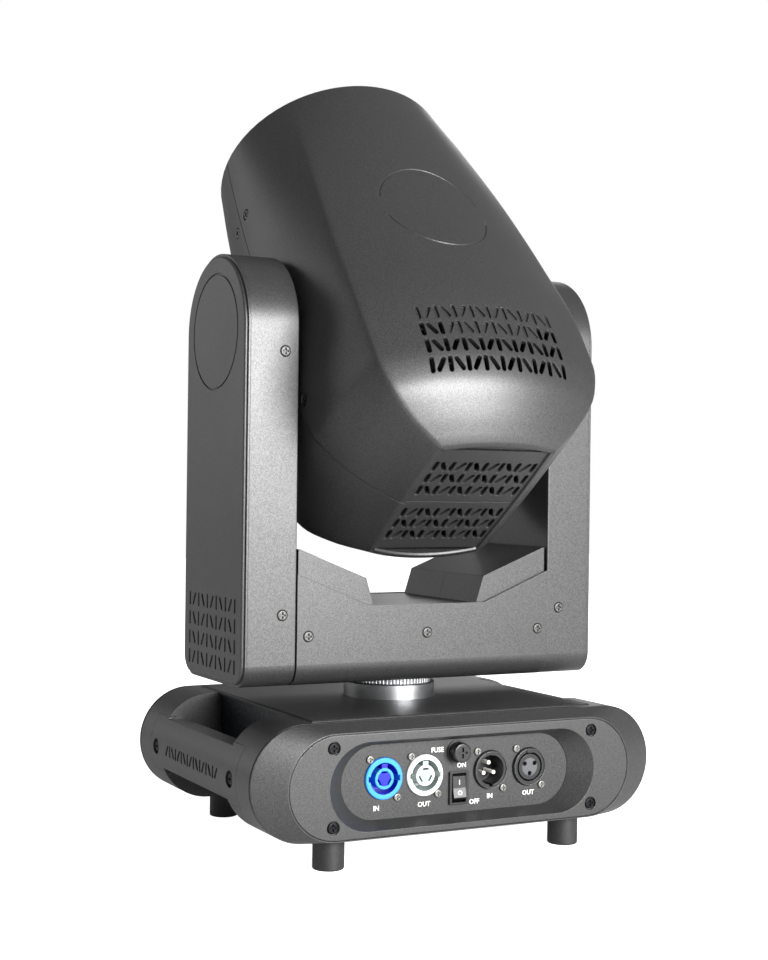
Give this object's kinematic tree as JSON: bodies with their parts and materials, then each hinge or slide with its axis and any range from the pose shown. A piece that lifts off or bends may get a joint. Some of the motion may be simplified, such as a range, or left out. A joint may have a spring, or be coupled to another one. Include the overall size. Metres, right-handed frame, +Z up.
{
  "type": "moving head light",
  "caption": "Motorised stage light with a rounded base with side grips, a U-shaped panning yoke and a tilting vented head with a round front lens.",
  "frame": {"origin": "on the pan axis, in the plane of the base underside, centred between the four bracket holes", "axes": "+Z up along the pan axis; the socket side faces -Y; +X to the right seen from the socket side; the tilt axis is parallel to X"},
  "size_m": [0.285, 0.3028, 0.5062],
  "materials": {
    "painted_case": "satin textured charcoal",
    "moulded_case": "semi-matte fine spark-eroded grain, charcoal",
    "black_plastic": "matte",
    "blue_plastic": "satin",
    "white_plastic": "satin",
    "rubber": "matte",
    "zinc_screw": "bright nickel",
    "turned_aluminium": "turned bright",
    "sheet_steel": "satin",
    "bare_aluminium": "satin",
    "nickel_socket": "satin nickel",
    "display_glass": "gloss",
    "lens_glass": "polished"
  },
  "bodies": {
    "base": {"base_chassis": "sheet_steel", "base_top_plate": "painted_case", "front_end_frame": "moulded_case", "rear_end_frame": "moulded_case", "front_end_cap": "moulded_case", "rear_end_cap": "moulded_case", "front_bezel": "moulded_case", "rear_bezel": "moulded_case", "connector_panel": "painted_case", "display_panel": "painted_case", "side_handle_left": "moulded_case", "side_handle_right": "moulded_case", "rubber_feet": "rubber", "power_in_socket": "blue_plastic", "power_out_socket": "white_plastic", "data_in_socket": "nickel_socket", "data_out_socket": "nickel_socket", "base_screws": "zinc_screw", "fuse_holder": "black_plastic", "switch_frame": "black_plastic", "display_window": "display_glass", "power_supply": "bare_aluminium", "pan_pulley": "turned_aluminium"},
    "rocker": {"power_rocker": "black_plastic"},
    "fuse_cap": {"fuse_cap": "black_plastic"},
    "menu_key": {"button_menu": "black_plastic"},
    "down_key": {"button_down": "black_plastic"},
    "up_key": {"button_up": "black_plastic"},
    "enter_key": {"button_enter": "black_plastic"},
    "yoke": {"bridge_frame": "sheet_steel", "bridge_shell_front": "moulded_case", "bridge_shell_rear": "moulded_case", "bridge_cover_front": "moulded_case", "bridge_cover_rear": "moulded_case", "arm_shell_left": "moulded_case", "arm_shell_right": "moulded_case", "arm_cover_left": "moulded_case", "arm_cover_right": "moulded_case", "pan_bearing": "zinc_screw", "pan_motor": "sheet_steel", "pan_belt": "rubber", "tilt_motor": "sheet_steel", "tilt_belt": "rubber", "tilt_bearings": "zinc_screw", "yoke_screws": "zinc_screw"},
    "pan_drive": {"pan_motor_pulley": "bare_aluminium"},
    "tilt_drive": {"tilt_motor_pulley": "bare_aluminium"},
    "head": {"head_cover_top": "moulded_case", "head_cover_bottom": "moulded_case", "front_ring": "moulded_case", "front_lens": "lens_glass", "head_chassis": "sheet_steel", "tilt_pulley": "bare_aluminium", "light_engine": "bare_aluminium", "fan_housing": "black_plastic", "head_screws": "zinc_screw"},
    "fan": {"fan_rotor": "black_plastic"},
    "colour": {"colour_wheel": "bare_aluminium"},
    "gobo": {"gobo_wheel": "bare_aluminium"},
    "focus": {"focus_carriage": "black_plastic"}
  },
  "joints": [
    {"name": "pan", "type": "hinge", "parent": "base", "child": "yoke", "pos_m": [0, 0, 0.0855], "axis": [0, 0, 1], "range_deg": [-270, 270]},
    {"name": "tilt", "type": "hinge", "parent": "yoke", "child": "head", "pos_m": [0, 0, 0.3079], "axis": [1, 0, 0], "range_deg": [-98.5, 171.5]},
    {"name": "power_switch", "type": "hinge", "parent": "base", "child": "rocker", "pos_m": [0, -0.0879, 0.0243], "axis": [1, 0, 0], "range_deg": [0, 16]},
    {"name": "fuse_turn", "type": "hinge", "parent": "base", "child": "fuse_cap", "pos_m": [-0.0014, -0.0909, 0.0469], "axis": [0, -1, 0], "range_deg": [-90, 0]},
    {"name": "menu_press", "type": "slide", "parent": "base", "child": "menu_key", "axis": [0, -1, 0], "range_m": [0, 0.001], "stiffness_N_per_m": 400, "springref_m": -0.0005},
    {"name": "down_press", "type": "slide", "parent": "base", "child": "down_key", "axis": [0, -1, 0], "range_m": [0, 0.001], "stiffness_N_per_m": 400, "springref_m": -0.0005},
    {"name": "up_press", "type": "slide", "parent": "base", "child": "up_key", "axis": [0, -1, 0], "range_m": [0, 0.001], "stiffness_N_per_m": 400, "springref_m": -0.0005},
    {"name": "enter_press", "type": "slide", "parent": "base", "child": "enter_key", "axis": [0, -1, 0], "range_m": [0, 0.001], "stiffness_N_per_m": 400, "springref_m": -0.0005},
    {"name": "pan_motor_spin", "type": "hinge", "parent": "yoke", "child": "pan_drive", "pos_m": [0.058, 0, 0.094], "axis": [0, 0, 1], "range_deg": [-1080, 1080]},
    {"name": "tilt_motor_spin", "type": "hinge", "parent": "yoke", "child": "tilt_drive", "pos_m": [-0.1019, 0, 0.1879], "axis": [1, 0, 0], "range_deg": [-686, 686]},
    {"name": "focus_slide", "type": "slide", "parent": "head", "child": "focus", "axis": [0, 0.5948, 0.8039], "range_m": [0, 0.03]},
    {"name": "colour_spin", "type": "hinge", "parent": "head", "child": "colour", "pos_m": [0, -0.03752, 0.29586], "axis": [0, 0.5948, 0.8039], "continuous": true},
    {"name": "gobo_spin", "type": "hinge", "parent": "head", "child": "gobo", "pos_m": [0, -0.00055, 0.2685], "axis": [0, 0.5948, 0.8039], "continuous": true},
    {"name": "fan_spin", "type": "hinge", "parent": "head", "child": "fan", "pos_m": [0, -0.07435, 0.20742], "axis": [0, 0.5948, 0.8039], "continuous": true}
  ],
  "couplings": [
    {"joint": "pan_motor_spin", "follows": "pan", "ratio": -4},
    {"joint": "tilt_motor_spin", "follows": "tilt", "ratio": 4}
  ]
}
